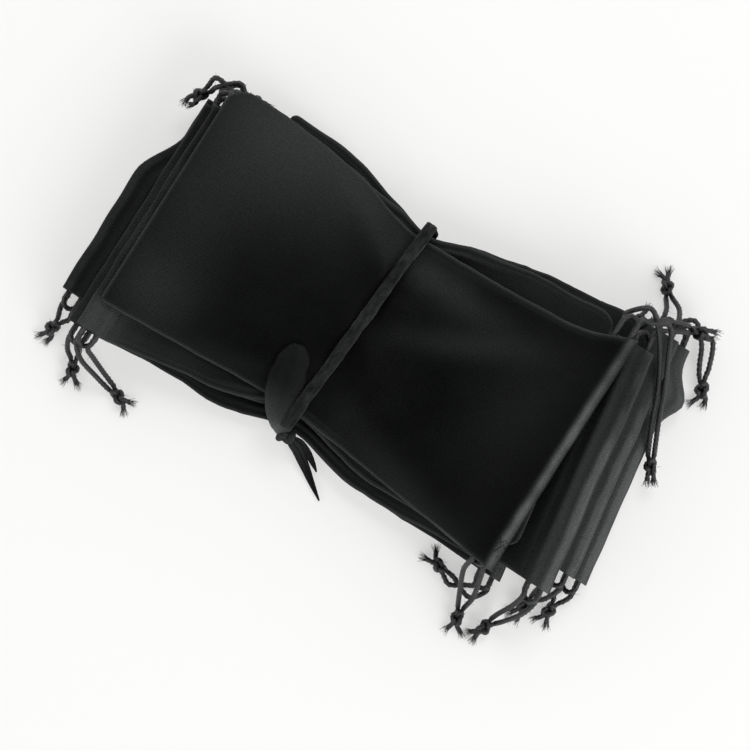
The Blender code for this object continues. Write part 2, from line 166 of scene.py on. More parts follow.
class Layer:
    """One panel's underside. heights holds the two side edges' heights at each station."""

    def __init__(self, pouch, below):
        self.pouch = pouch
        self.mouth = pouch.side * pouch.mouth
        self.closed = self.mouth - pouch.side * POUCH_LENGTH
        self.hem_start = self.mouth - pouch.side * (HEM_DEPTH + HEM_RAMP)
        self.heights = below
        lines = [self.lifted(values) for values in below]
        tilt = sum(end - start for start, end in lines) / 2
        starts = [max(start, end - tilt) for start, end in lines]
        self.hem_ends = [(start, start + tilt) for start in starts]

    def lifted(self, values):
        """A hem is stiff, so it lies as a straight line above everything below it."""
        start, end = read(STATIONS, values, self.hem_start), read(STATIONS, values, self.mouth)
        lift = 0.0
        for s in STATIONS:
            f = (s - self.hem_start) / (self.mouth - self.hem_start)
            if 0 < f < 1:
                lift = max(lift, read(STATIONS, values, s) - start - f * (end - start))
        return start + lift, end + lift

    def height(self, x, sign):
        """Underside at x of one side edge, sign +1 at +Y."""
        index = (sign + 1) // 2
        f = (x - self.hem_start) / (self.mouth - self.hem_start)
        if f <= 0:
            return read(STATIONS, self.heights[index], x)
        start, end = self.hem_ends[index]
        return start + f * (end - start)

    def under(self, x, f):
        """Underside at x, at a share f of the way from the -Y edge."""
        return self.height(x, -1) * (1 - f) + self.height(x, 1) * f

    def held(self, x):
        """x kept between the closed end and the mouth."""
        low, high = sorted((self.mouth, self.closed))
        return min(max(x, low), high)

    def tops(self, before, sign):
        """Highest point near each station once this panel is laid."""
        result = []
        for i, old in enumerate(before):
            low = STATIONS[max(i - 1, 0)]
            high = STATIONS[min(i + 1, len(STATIONS) - 1)]
            spots = [low + (high - low) * q / 12 for q in range(13)]
            own = [self.height(x, sign) + 1.04 * thickness(self.pouch, x)
                   for x in spots if self.held(x) == x]
            result.append(max([old] + own))
        return result


def loose(values):
    """Where the next layer lies: a small gap above these heights, larger away from the tie."""
    room = []
    for top, s in zip(values, STATIONS):
        gap = GAP + (LOOSE_GAP - GAP) * smooth((abs(s) - 12) / 50)
        room.append(top + gap if top > 0 else 0.0)
    return drape(room)


def crossing(tops):
    """Heights under the top pouch's two edges: its columns cross the slanted stations."""
    sides = [[read(STATIONS, tops, s + sign * skew(s) * POUCH_WIDTH / 2) for s in STATIONS]
             for sign in (-1, 1)]
    for i, s in enumerate(STATIONS):
        lift = 0.0
        for q in range(-10, 11):
            f = (q + 10) / 20
            x = s + skew(s) * POUCH_WIDTH / 2 * q / 10
            line = sides[0][i] + f * (sides[1][i] - sides[0][i])
            reach = END_STEP if skew(s) else 0.0
            need = max(read(STATIONS, tops, spot) for spot in (x - reach, x, x + reach))
            lift = max(lift, need - line)
        sides[0][i] += lift
        sides[1][i] += lift
    return sides


def stack():
    """Lay the panels from the table up. Returns {node name: Layer}."""
    layers = {}
    tops = [TIE_CLOTH + GAP + 0.2 if abs(s) <= 9 else 0.0 for s in STATIONS]
    under = drape(tops)
    for pouch in POUCHES[:-1]:
        for panel in ("back", "front"):
            layer = Layer(pouch, (under, under))
            layers[f"{pouch.name}_{panel}_panel"] = layer
            tops = layer.tops(tops, -1)
            under = loose(tops)
    top = POUCHES[-1]
    back = Layer(top, crossing(under))
    front = Layer(top, [loose(back.tops([0.0] * len(STATIONS), sign)) for sign in (-1, 1)])
    layers[f"{top.name}_back_panel"] = back
    layers[f"{top.name}_front_panel"] = front
    return layers


LAYERS = stack()


def lengths_along(path):
    total, result = 0.0, [0.0]
    for a, b in zip(path, path[1:]):
        total += (b - a).length
        result.append(total)
    return result


def resample(path, step):
    """Points every step along the path, its ends kept."""
    walked = lengths_along(path)
    count = max(2, round(walked[-1] / step))
    result, i = [], 0
    for n in range(count + 1):
        target = walked[-1] * n / count
        while i < len(path) - 2 and walked[i + 1] < target:
            i += 1
        span = walked[i + 1] - walked[i]
        result.append(path[i].lerp(path[i + 1], (target - walked[i]) / span if span else 0.0))
    return result


def curve_through(points, step):
    """A smooth curve through the points, read every step."""
    ends = [2 * points[0] - points[1]] + points + [2 * points[-1] - points[-2]]
    fine = []
    for i in range(len(points) - 1):
        a, b, c, d = ends[i:i + 4]
        for q in range(16):
            t = q / 16
            fine.append(0.5 * (2 * b + (c - a) * t + (2 * a - 5 * b + 4 * c - d) * t ** 2
                               + (3 * b - a - 3 * c + d) * t ** 3))
    return resample(fine + [points[-1]], step)


# Each string's free end, from its hem outwards: points midway between its two legs, as
# (x, y, height, half the space between the legs). The last one is the knot's centre.
FREE_ENDS = {
    "pouch_1_left": ((86.5, 51, 3.4, 2.4), (90, 57.5, 3, 1.25)),
    "pouch_1_right": ((90, -69, 3.4, 2.4), (83, -69, 3.2, 1.6), (75.5, -66.5, 3, 1.25)),
    "pouch_2_left": ((-96, 56.6, 3.4, 2.2), (-88.5, 55.5, 3, 1.25)),
    "pouch_2_right": ((-98.5, -62.5, 3.5, 2.4), (-100, -69, 3, 1.25)),
    "pouch_3_left": ((110.5, 67.5, 4.2, 2.4), (117.5, 65, 3.2, 2.2), (121.5, 57, 3, 2),
                     (124.5, 48, 3, 1.25)),
    "pouch_3_right": ((122.3, -51.5, 3.6, 2.4), (121.5, -58, 3, 1.25)),
    "pouch_4_left": ((-89.5, 47, 12.5, 2.2), (-82, 46, 11, 1.25)),
    "pouch_4_right": ((-92, -72, 8, 2.4), (-89, -78.5, 3, 1.25)),
    "pouch_5_left": ((98.5, 68.5, 10, 2.5), (92.5, 75, 3, 1.25)),
    "pouch_5_right": ((115, -54, 9.5, 2.5), (112.5, -61.5, 3, 1.25)),
    "pouch_6_left": ((96, 58.5, 24.5, 2.4), (101, 61.5, 23, 1.8), (106.5, 64, 19.5, 1.4),
                     (112, 66, 13, 1.25)),
    "pouch_6_right": ((109.5, -64, 18, 2.5), (106.5, -70.5, 8.5, 1.8), (103.5, -77.5, 3, 1.25)),
    "pouch_7_left": ((-92.5, 49.5, 21.5, 2.4), (-99.5, 47, 20.5, 1.8), (-103, 39.5, 16, 1.25)),
    "pouch_7_right": ((-85, -71, 20.5, 2.4), (-77.5, -74.5, 8, 1.6), (-68, -78, 3, 1.25)),
    "pouch_8_left": ((91.5, 60, 32.5, 2.8), (98.5, 58.5, 30, 2.4), (104.5, 49.5, 26, 1.6),
                     (110.5, 39, 21.5, 1.25), (115.5, 28, 16, 1.25), (120, 19, 12.5, 1.25),
                     (124.5, 11.5, 8.5, 1.25)),
    "pouch_8_right": ((86.5, -61, 26, 3.6), (90, -70, 14, 2.8), (92.5, -80, 3, 1.25)),
}


def lane_point(pouch, panel_name, lane, sign):
    """Centre of a string in a hem, where it meets the side edge of this sign."""
    layer = LAYERS[f"{pouch.name}_{panel_name}_panel"]
    x = layer.mouth - pouch.side * lane
    return Vector((*edge(pouch, x, sign), layer.height(x, sign) + (CLOTH + CHANNEL / 2)))


def string_route(pouch, hand, sign):
    """One drawstring: its two legs outwards from the hem, the loop at its far side, its knot."""
    lanes = LANES if sign > 0 else LANES[::-1]
    first = [lane_point(pouch, "front", lanes[0], s) for s in (sign, -sign)]
    last = [lane_point(pouch, "back", lanes[1], s) for s in (-sign, sign)]
    out = (first[0] - first[1]).normalized()
    bow = [first[1] - out * (STRING_SLACK + 0.5), last[0] - out * (STRING_SLACK + 0.5)]
    centre, spoke = (bow[0] + bow[1]) / 2, (bow[0] - bow[1]) / 2
    turns = [math.pi * i / 24 for i in range(25)]
    loop = [centre + spoke * math.cos(t) - out * spoke.length * math.sin(t) for t in turns]
    route = FREE_ENDS[f"{pouch.name}_{hand}"]
    knot = Vector(route[-1][:3])
    heading = knot - Vector(route[-2][:3])
    heading = Vector((heading.x, heading.y, 0)).normalized()
    legs = []
    for start, lean in ((first[0], 1), (last[1], -1)):
        points = [start, start + out * CLEAR / 2, start + out * CLEAR]
        for i, (*spot, spread) in enumerate(route):
            spot = Vector(spot)
            if i < len(route) - 1:
                before = Vector(route[i - 1][:3]) if i else (first[0] + last[1]) / 2
                ahead = Vector(route[i + 1][:3]) - before
            else:
                spot, ahead = knot - heading * (KNOT[0] + 3 * GAP), heading
            across = ahead.cross(UP).normalized()
            side = 1 if (first[0] - last[1]).dot(across) >= 0 else -1       # the legs don't cross
            points.append(spot + across * spread * lean * side)
        legs.append(curve_through(points, LEG_STEP))
    return legs, loop, knot, heading


def rounded_loop(low, high, radius):
    """Corners of a rounded rectangle in two coordinates."""
    points = []
    for cx, cy, start in ((high[0], high[1], 0), (low[0], high[1], 90),
                          (low[0], low[1], 180), (high[0], low[1], 270)):
        inward = (cx - math.copysign(radius, cx - (low[0] + high[0]) / 2),
                  cy - math.copysign(radius, cy - (low[1] + high[1]) / 2))
        for step in range(5):
            angle = math.radians(start + 22.5 * step)
            points.append((inward[0] + radius * math.cos(angle), inward[1] + radius * math.sin(angle)))
    return points


def tie_top():
    layer = LAYERS[f"{POUCHES[-1].name}_front_panel"]
    return max(layer.height(x, sign) for x in (-9, 0, 9) for sign in (-1, 1)) + CLOTH


# ---- how the pile settles
TOP_POUCH = POUCHES[-1]
TOP_LAYER = LAYERS[f"{TOP_POUCH.name}_front_panel"]


def row(point):
    """A point in metres in the row frame."""
    return Vector((point[0] - ORIGIN[0], point[1] - ORIGIN[1], point[2])) * MM


def wave(x, y, z=0.0):
    """Smooth noise between about -1 and 1, the same on every run."""
    return noise.noise(Vector((x, y, z)))


def top_height(x, sign):
    """Underside of the top panel at x, held at its ends."""
    return TOP_LAYER.height(TOP_LAYER.held(x), sign)


def pile_height(x):
    return (top_height(x, 1) + top_height(x, -1)) / 2


EASE_REACH = 26         # how far a slope is averaged on each side
EASED_AT = range(-140, 141)     # where averages are kept


def eased(x, sign):
    """The top panel's height, averaged around x."""
    total = sum(top_height(x + d, sign) * (EASE_REACH + 1 - abs(d))
                for d in range(-EASE_REACH, EASE_REACH + 1))
    return total / (EASE_REACH + 1) ** 2


EASED = {sign: [eased(x, sign) for x in EASED_AT] for sign in (-1, 1)}


def easing(x, sign):
    """How much the top panel's straight slopes are rounded off at x."""
    return read(EASED_AT, EASED[sign], x) / top_height(x, sign)


# Folds that fan out from the tie: (side along X, y where it leaves the tie, slope, width, height, reach)
FOLDS = ((1, 21, 0.46, 4.0, 2.0, 32), (1, 8, 0.16, 5.5, 1.8, 46), (1, -10, -0.5, 6, 1.0, 40),
         (1, -31, -0.25, 4.5, 0.8, 28), (-1, 16, -0.7, 4.0, 1.3, 30), (-1, -4, 0.12, 7, 0.7, 36),
         (-1, -27, 0.3, 5, 1.0, 30))


def ruffle(x, y):
    """Height of the soft folds at the top of the pile: waves, a rise beside the tie, sag and folds."""
    far = abs(x)
    result = 1.5 * wave(x / 42, y / 33, 1.7 if x > 0 else 4.4) * smooth(far / 45)
    result += 0.12 * wave(x / 11, y / 8, 7.7) * smooth(far / 12)
    result += 0.4 * math.exp(-((far - 8) / 4.5) ** 2)
    result -= 2.6 * (y / 50) ** 2 * smooth(far / 30) * smooth((96 - far) / 30)
    for side, leaves, slope, width, height, reach in FOLDS:
        if x * side > 0:
            spread = width * (1 + far / 40)
            along_fold = smooth(far / 7) * math.exp(-(far / reach) ** 2)
            result += height * along_fold * math.exp(-((y - leaves - slope * x) / spread) ** 2)
    return result


def settle(point):
    """Round off the pile's slopes and add its folds, which die away towards the table."""
    f = min(max(point.y / POUCH_WIDTH + 0.5, 0.0), 1.0)
    height = point.z * (easing(point.x, -1) * (1 - f) + easing(point.x, 1) * f)
    share = min(max(height / pile_height(point.x), 0.0), 1.15) ** 1.4
    return Vector((point.x, point.y, height + share * ruffle(point.x, point.y)))


# ---- materials
def node(tree, kind, output, values=(), **settings):
    """Add a shader node and return its output. Its inputs get constants or other nodes' outputs."""
    made = tree.nodes.new(f"ShaderNode{kind}")
    for key, value in settings.items():
        setattr(made, key, value)
    for key, value in dict(values).items():
        if isinstance(value, bpy.types.NodeSocket):
            tree.links.new(value, made.inputs[key])
        else:
            made.inputs[key].default_value = value
    return made.outputs[output]


def material(name, values):
    """A new material and its shader, with these constants on the shader's inputs."""
    made = bpy.data.materials.new(name)
    made.use_nodes = True
    shader = made.node_tree.nodes["Principled BSDF"]
    for key, value in values.items():
        shader.inputs[key].default_value = value
    return made, shader


TWILL_TURN = 0.65               # direction of the twill lines, in radians
SHEEN_ROUGHNESS = 0.3
SHEEN_TINT = (0.86, 0.93, 0.95, 1.0)


def fabric(name, dark, light, worn_and_lit, roughness, sheen, specular, twill, nap, bump):
    """Woven cloth: twill lines, nap and patchy colour, made paler where the wear attribute asks: abraded
    nap, painted highlights and painted light.

    dark, light and worn_and_lit are colours, the last one both the colour of abraded nap and of painted
    highlights; twill, nap and bump are sizes in mm.
    """
    made, shader = material(name, {
        "Roughness": roughness, "Sheen Weight": sheen, "Sheen Roughness": SHEEN_ROUGHNESS,
        "Sheen Tint": SHEEN_TINT, "Specular IOR Level": specular})
    tree = made.node_tree
    place_at = node(tree, "TexCoord", "Object")
    at = node(tree, "Mapping", "Vector",
              {"Vector": place_at, "Scale": (1 / MM,) * 3, "Rotation": (0, 0, TWILL_TURN)})
    patches = node(tree, "TexNoise", "Fac",
                   {"Vector": at, "Scale": 0.045, "Detail": 4.0, "Roughness": 0.6})
    fuzz = node(tree, "TexNoise", "Fac",
                {"Vector": at, "Scale": 1 / nap, "Detail": 3.0, "Roughness": 0.7})
    lines = node(tree, "TexWave", "Fac",
                 {"Vector": at, "Scale": math.tau / (20 * twill), "Distortion": 0.35, "Detail": 1.0,
                  "Detail Scale": 1.4})
    spread = node(tree, "MapRange", "Result",
                  {"Value": patches, "From Min": 0.35, "From Max": 0.65})
    tone = node(tree, "Mix", "Result",
                {"Factor": spread, "A": (*dark, 1), "B": (*light, 1)}, data_type="RGBA")
    ramp = node(tree, "MapRange", "Result",
                {"Value": fuzz, "From Min": 0.3, "From Max": 0.7, "To Min": 0.55, "To Max": 1.5})
    speck = node(tree, "Mix", "Result", {"Factor": 1.0, "A": tone, "B": ramp},
                 data_type="RGBA", blend_type="MULTIPLY")
    # Painted highlight and painted light: the attribute mixes in the pale colour, partly for abraded nap
    # and partly for light the cloth catches.
    wear = node(tree, "Attribute", "Fac", attribute_name="wear")
    rubbed_and_lit = node(tree, "Math", "Value", {0: wear, 1: fuzz}, operation="MULTIPLY")
    shade = node(tree, "Mix", "Result", {"Factor": rubbed_and_lit, "A": speck, "B": (*worn_and_lit, 1)},
                 data_type="RGBA")
    tree.links.new(shade, shader.inputs["Base Color"])
    relief = node(tree, "Math", "Value", {0: lines, 1: 0.55, 2: fuzz}, operation="MULTIPLY_ADD")
    lift = node(tree, "Bump", "Normal",
                {"Height": relief, "Strength": 1.0, "Distance": bump * MM})
    tree.links.new(lift, shader.inputs["Normal"])
    return made


POUCH_CLOTH = fabric(
    "pouch_cloth", dark=(0.0008, 0.0009, 0.001), light=(0.0018, 0.002, 0.0021), worn_and_lit=(0.165, 0.172, 0.172),
    roughness=0.45, sheen=0.016, specular=0.05, twill=0.9, nap=0.45, bump=0.13)
BRAID = fabric(
    "cord_braid", dark=(0.003, 0.0034, 0.0034), light=(0.010, 0.011, 0.011), worn_and_lit=(0.09, 0.095, 0.095),
    roughness=0.25, sheen=0.02, specular=0.42, twill=0.42, nap=0.25, bump=0.16)
TIE_FINISH = fabric(
    "tie_cloth", dark=(0.0011, 0.0012, 0.0013), light=(0.0028, 0.003, 0.0031), worn_and_lit=(0.15, 0.156, 0.157),
    roughness=0.5, sheen=0.02, specular=0.08, twill=0.9, nap=0.45, bump=0.10)


# ---- meshes
def piece(name, points, faces, finish, body, wear=None):
    """A smooth mesh piece from points in millimetres, riding on a body."""
    mesh = bpy.data.meshes.new(name)
    mesh.from_pydata([row(p) for p in points], [], faces)
    mesh.update()
    mesh.shade_smooth()
    # wear is each point's paleness: abraded nap, painted highlights and painted light.
    if wear:
        mesh.attributes.new("wear", "FLOAT", "POINT").data.foreach_set("value", wear)
    made = bpy.data.objects.new(name, mesh)
    bpy.context.scene.collection.objects.link(made)
    mesh.materials.append(finish)
    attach(made, body)
    return made


def grid_faces(columns, rows, flip=False):
    """Faces between the points of a grid that is listed column by column."""
    faces = []
    for i in range(columns - 1):
        for j in range(rows - 1):
            a = i * rows + j
            quad = (a, a + rows, a + rows + 1, a + 1)
            faces.append(quad[::-1] if flip else quad)
    return faces


def solidify(made, thickness):
    shell = made.modifiers.new("cloth thickness", "SOLIDIFY")
    shell.thickness = thickness * MM
    shell.offset = 0.0
    shell.use_even_offset = True


# ---- cloth panels
SEAM_IN = 1.5            # how far the two panels turn towards each other at a side seam
SEAM_LINE = 1.9          # the seam's stitches, from the edge
STITCH_LINE = 12.2       # the hem's stitches, from the mouth
HEM_FROM = 16.5          # the hem's own columns start here, from the mouth
SOFT_RISE = 34.0         # the top hem swells gently from here
CORNERS = {1: (4.5, 3.0), -1: (6.0, 8.0)}     # rounding of the closed corners at -Y and +Y, by mouth side
TOP_CORNERS = (2.0, 8.5)
EDGE_ROWS = (0.0, 0.35, 0.8, 1.3, 1.9, 2.5, 3.5, 5.0)       # rows near a side seam, from the edge
END_COLUMNS = (0.0, 0.3, 0.8, 1.5, 2.4, 3.6)                # columns near the closed end, from it
# Painted highlight: how much paler the hems of these pouches are drawn, for the light they catch at the
# pile's edges.
HEM_HIGHLIGHTS = {"pouch_3": 0.46, "pouch_5": 0.36, "pouch_6": 0.22, "pouch_7": 0.22}
FINE = (1.5, 1.2, 1.0)       # a panel's grid steps along and across, and how much its cloth puckers
COARSE = (3.0, 2.6, 0.25)


def swell(inside):
    """Rise of the top pouch's cloth towards its hem."""
    return (HEM - CLOTH) * smooth((SOFT_RISE - inside) / (SOFT_RISE - 8.5))


def hem_section(front, soft):
    """The hem's cross-section as (distance from the mouth, rise), stitches to raw end."""
    low, high = CLOTH / 2, HEM - CLOTH / 2
    turned = low + 1.1 * CLOTH
    if soft:
        over = [(d, low + swell(d)) for d in (HEM_FROM, 15, 13.6, STITCH_LINE, 11, 10.1, 9.2)]
        over += [(8.2, high), (7.2, high - 0.02), (6.15, high - 0.05), (5.1, high - 0.02), (4.1, high),
                 (3.3, high - 0.02), (2.6, high - 0.1), (1.95, high - 0.22)]
    else:
        over = [(HEM_FROM, low), (15, low), (14.2, turned), (13, turned), (STITCH_LINE, turned - 0.05),
                (11.4, turned + 0.3), (10.6, 1.75), (10.1, 2.75), (9.5, high - 0.08), (8.9, high),
                (8.2, high - 0.06), (7.2, high - 0.3), (6.15, high - 0.4), (5.1, high - 0.3),
                (4.1, high - 0.04), (3.3, high), (2.6, high), (1.95, high - 0.02)]
    flat = [(d, low) for d in (HEM_FROM, 13.0, STITCH_LINE, 10, 8, 6, 4, 3, 1.95)]
    radius = (high - low) / 2
    fold = []
    for step in range(1, 12):
        angle = math.pi * step / 12
        fold.append((CLOTH / 2 + radius * (1 - math.sin(angle)), low + radius * (1 + math.cos(angle))))
    if front:
        return over + fold + [(d, low) for d in (1.95, 4, 7, 10, STITCH_LINE, 13.5)]
    back = [(d, z) for d, z in reversed(over) if d <= 13.0]
    return flat + fold[::-1] + back + [(13.8, turned)]


def panel_rows(half, step):
    """Places across a panel from -1 to 1, closer together at its two edges."""
    inner = half - EDGE_ROWS[-1]
    count = max(2, round(2 * inner / step))
    side = [1 - d / half for d in EDGE_ROWS]
    middle_rows = [inner / half * (1 - 2 * i / count) for i in range(1, count)]
    return [-v for v in side] + [-v for v in middle_rows] + side[::-1]


# How far the side edges of the cloth lie outside (+) or inside (-) the plain hourglass:
# (side, place along X, reach along X, amount).
OUTLINE = ((1, -30, 22, 3.4), (1, -10, 8, 2.4), (1, 18, 13, 2.8), (1, 48, 14, -0.8), (1, 70, 17, -3.0),
           (-1, -62, 20, -1.8), (-1, -26, 17, 2.6), (-1, 22, 24, 4.2))


def outline(x, sign):
    return sum(amount * math.exp(-((x - at) / reach) ** 2)
               for side, at, reach, amount in OUTLINE if side == sign)


# Where the top pouch's two side edges lie, as (x, y)
TOP_EDGES = {1: ((-92, 50), (-72, 50.5), (-50, 49), (-30, 46), (-14, 40.5), (-3, 38), (12, 38.8),
                 (40, 39.6), (70, 41.4), (80, 44), (87, 48), (92, 49)),
             -1: ((-92, -48.8), (-61, -47.3), (-19, -45.1), (-2, -45.5), (20, -48), (50, -51.7), (80, -55),
                  (92, -56.5))}


def top_edge(x, sign):
    return read(*zip(*TOP_EDGES[sign]), x)


def pull_corner(pouch, point):
    """The outermost mouths aren't straight: one bows out to a drawn corner, one has a lobe."""
    if pouch.name == "pouch_3":
        lobe = 6.5 * math.exp(-((point.y - 39) / 7.5) ** 2) * smooth((point.x - 75) / 35)
        return Vector((point.x + lobe, point.y, point.z))
    if pouch.name == "pouch_2":
        share = smooth((-point.x - 60) / 35)
        drawn = 9.0 * smooth((point.y - 1) / 23) - 4.4
        across = -6.5 * smooth((point.y - 18) / 30)
        return Vector((point.x + share * drawn, point.y + share * across, point.z))
    return point


# Painted light on the top pouch: pale patches where its cloth faces the light, which leave the shaded
# middle by the tie dark: (along, across, length, width, slope, share), in mm.
LIT_PATCHES = ((-60, 52, 40, 34, 0, 0.27), (-78, -34, 18, 18, 0, 0.11), (-84, 4, 20, 24, 0, 0.07),
           (20, 27, 27, 7, -0.05, 0.14), (36, 12, 23, 6, 0.45, 0.11), (66, 4, 18, 30, 0, 0.06),
           (52, -52, 36, 9, -0.3, 0.11), (-20, 38, 22, 8, -0.3, 0.10), (-38, -42, 24, 5, 0.2, 0.05))


def lit_patches(x, y):
    total = 0.0
    for a, b, length, width, slope, share in LIT_PATCHES:
        run, across = x - a, y - b - slope * (x - a)
        total += share * math.exp(-(run / length) ** 2 - (across / width) ** 2)
    return total


def panel_columns(front, soft, step):
    """A panel from its closed end to its hem, as (distance from the mouth, rise)."""
    low, body = CLOTH / 2, POUCH_LENGTH - HEM_FROM
    count = round(body / step)
    columns = [(POUCH_LENGTH - d, low) for d in END_COLUMNS]
    for i in range(1, count):
        inside = POUCH_LENGTH - body * i / count
        if POUCH_LENGTH - inside > 4.2:
            columns.append((inside, low + (swell(inside) if soft and front else 0.0)))
    return columns + hem_section(front, soft)


def seamed(inside):
    """0 in the hem, where the side seam is open, and 1 beyond it."""
    return smooth((inside - 13) / 3)


def across_panel(pouch, x, inside, v, seed):
    """The y of a panel's cloth at v of its half width, and its share of the way across."""
    on_top, sign, half = pouch is TOP_POUCH, 1 if v > 0 else -1, half_width(x)
    corner, to_end = (TOP_CORNERS if on_top else CORNERS[pouch.side])[v > 0], POUCH_LENGTH - inside
    inset = corner - math.sqrt(corner ** 2 - (corner - to_end) ** 2) if to_end < corner else 0.0
    reach = v * (1 - inset / half)
    f = (reach + 1) / 2
    wobble = 0.7 * wave(x / 14, seed) + 0.25 * wave(x / 4, seed, 3)
    if on_top:
        low, high = (sum(top_edge(x + d, side) for d in (-5, -2.5, 0, 2.5, 5)) / 5 for side in (-1, 1))
        return low + (high - low) * f + reach * wobble * 0.5 * seamed(inside), f
    bulge = outline(x, sign) * abs(reach) ** 3 * smooth((inside - 10) / 12)
    y = middle(pouch, x) + reach * (half + wobble * smooth((inside - 14) / 10))
    return y + sign * bulge, f


def folds_and_seams(x, y, rise, inside, nearest, turn_by, seed, loft):
    """Height added by a panel's seams, puckers and gathers, nearest mm from its closest seam.

    turn_by is half the gap to the other panel, signed towards it.
    """
    z = turn_by * (1 - smooth(nearest / SEAM_IN)) * seamed(inside)
    z += math.copysign(0.16, turn_by) * math.exp(-((nearest - SEAM_LINE) / 0.55) ** 2) * seamed(inside)
    z += 0.1 * wave(x / 2.3, y / 2.3, seed) * math.exp(-nearest / 2) * loft
    if inside < HEM_DEPTH + 2 and rise > CLOTH / 2 + 0.6:
        z += 0.14 * wave(y / 2.4, x / 6, seed + 9)
    gather = math.exp(-abs(inside - 15) / 10) * smooth((inside - 12.5) / 4)
    return z + 0.42 * loft * gather * wave(y / 4.6, x / 40, seed + 5)


def rub_and_highlight(pouch, x, y, inside, nearest, seed):
    """How pale the cloth is drawn: a painted highlight along the mouth's fold, abraded nap with painted
    highlights along the seams, and painted light in patches.
    """
    on_top = pouch is TOP_POUCH
    # Painted highlight along the rounded fold of the mouth, stronger towards -Y and weak on the mouths at
    # -X, which face away from the light.
    fold = 0.95 - 0.3 * smooth((y - 10) / 30) if on_top else 1.35 - 0.8 * smooth((y + 5) / 40)
    fold = math.exp(-((inside - 2.3) / (1.5 if on_top else 2.0)) ** 2) * (fold + 0.6 * wave(y / 9, seed))
    fold *= 0.3 + 0.7 * smooth(inside / 1.3)
    # Along the seams: abraded nap at the very edge, and a painted highlight on the ridge beside the seam's
    # stitches.
    seams = math.exp(-nearest / 0.8) * 0.45
    line = math.exp(-((nearest - SEAM_LINE - 0.9) / 0.5) ** 2) * seamed(inside)
    seams += line * (0.06 if on_top else 0.2)
    # Painted highlight on the lower pouches' hems.
    pale = HEM_HIGHLIGHTS.get(pouch.name, 0.0) * (1 - smooth((inside - 8) / 10))
    if pouch.side < 0:
        fold *= 0.2
        pale *= smooth((-y - 44) / 7)
    # Painted light: the top pouch gets pale patches where it faces the light, and the other pouches are
    # drawn paler away from the tie, leaving painted shade at the waist.
    pale += lit_patches(x, y) if on_top else 0.12 * smooth((abs(x) - 15) / 50)
    return min(1.0, max(fold, seams, pale))


def panel(pouch, front, step_along, step_across, loft):
    """One side of a pouch: a sheet of cloth from its closed end to the hem round its mouth."""
    kind, opposite = ("front", "back") if front else ("back", "front")
    layer, other = (LAYERS[f"{pouch.name}_{k}_panel"] for k in (kind, opposite))
    side, seed = pouch.side, POUCHES.index(pouch) * 3.7
    columns = panel_columns(front, pouch is TOP_POUCH, step_along)
    rows = panel_rows(POUCH_WIDTH / 2, step_across)
    points, wear = [], []
    for inside, rise in columns:
        x = layer.mouth - side * inside
        for v in rows:
            y, f = across_panel(pouch, x, inside, v, seed)
            nearest = min(half_width(x) * (1 - abs(v)), POUCH_LENGTH - inside)
            below = layer.under(layer.held(x), f)
            turn_by = (-1 if front else 1) * abs(other.under(layer.held(x), f) - below) / 2
            z = below + rise + folds_and_seams(x, y, rise, inside, nearest, turn_by, seed, loft)
            mouth_wobble = 0.45 * wave(y / 12, seed + 2) * (1 - smooth((inside - 2) / 14))
            spot = Vector((plan(pouch, x + side * mouth_wobble, y), y, z))
            points.append(settle(pull_corner(pouch, spot)))
            wear.append(rub_and_highlight(pouch, x, y, inside, nearest, seed))
    made = piece(f"{pouch.name}_{kind}_cloth", points, grid_faces(len(columns), len(rows), side > 0),
                 POUCH_CLOTH, "bundle", wear)
    solidify(made, CLOTH)
    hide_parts(f"{pouch.name}_{kind}_panel")
    return made


# ---- ropes and knots
BRAID_PITCH = 2.0        # length of one stitch of the braid
BRAID_LOBES = 4
BRAID_SIDES = 16
SHOWN_STEP = 0.34        # ring spacing where the braid shows, and where a seam hides it
HIDDEN_STEP = 1.6
WHISKERS = (46, 16)      # stray fibres along a cord and at its knot
YARNS = 46               # loose yarns at a cut end
KNOT_STEPS = 90
LYING = 3.4              # a knot with its centre below this lies on the table
THREAD_LOW = 0.12        # threads stay above this


def frames(path, closed=False):
    """A steady pair of cross directions at each point of a path."""
    last = len(path) - 1
    tangents = []
    for i in range(len(path)):
        before = path[i - 1] if i or closed else path[0]
        after = path[(i + 1) % len(path)] if i < last or closed else path[last]
        tangents.append((after - before).normalized())
    up = UP if abs(tangents[0].z) < 0.9 else Vector((1, 0, 0))
    result = []
    for tangent in tangents:
        up = (up - tangent * up.dot(tangent)).normalized()
        result.append((tangent.cross(up), up))
    return result


def braid_radius(radius, angle, walked, relief):
    """Radius of a braided cord, with the bumps of its stitches where relief is 1."""
    bumps = math.cos(BRAID_LOBES * angle) * math.cos(math.tau * walked / BRAID_PITCH)
    return radius * (0.93 + relief * (0.16 * bumps + 0.02))


class Collector:
    """Gathers several tubes into one piece."""

    def __init__(self):
        self.points, self.faces = [], []

    def add(self, path, radius_at, sides, closed=False):
        """Add a tube round a path. radius_at(angle, ring number, length along) gives its surface."""
        crosses, walked = frames(path, closed), lengths_along(path)
        rings, first = len(path), len(self.points)
        for i, centre in enumerate(path):
            right, up = crosses[i]
            for k in range(sides):
                angle = math.tau * k / sides
                reach = radius_at(angle, i, walked[i])
                self.points.append(centre + (right * math.cos(angle) + up * math.sin(angle)) * reach)
        for i in range(rings if closed else rings - 1):
            for k in range(sides):
                a, b = i * sides + k, i * sides + (k + 1) % sides
                c, d = (a + sides) % (rings * sides), (b + sides) % (rings * sides)
                self.faces.append(tuple(first + n for n in (a, b, d, c)))
        if not closed:
            self.faces.append(tuple(first + k for k in range(sides))[::-1])
            self.faces.append(tuple(first + (rings - 1) * sides + k for k in range(sides)))


def rope_surface(radius):
    return lambda angle, ring, walked: braid_radius(radius, angle, walked, 1.0)


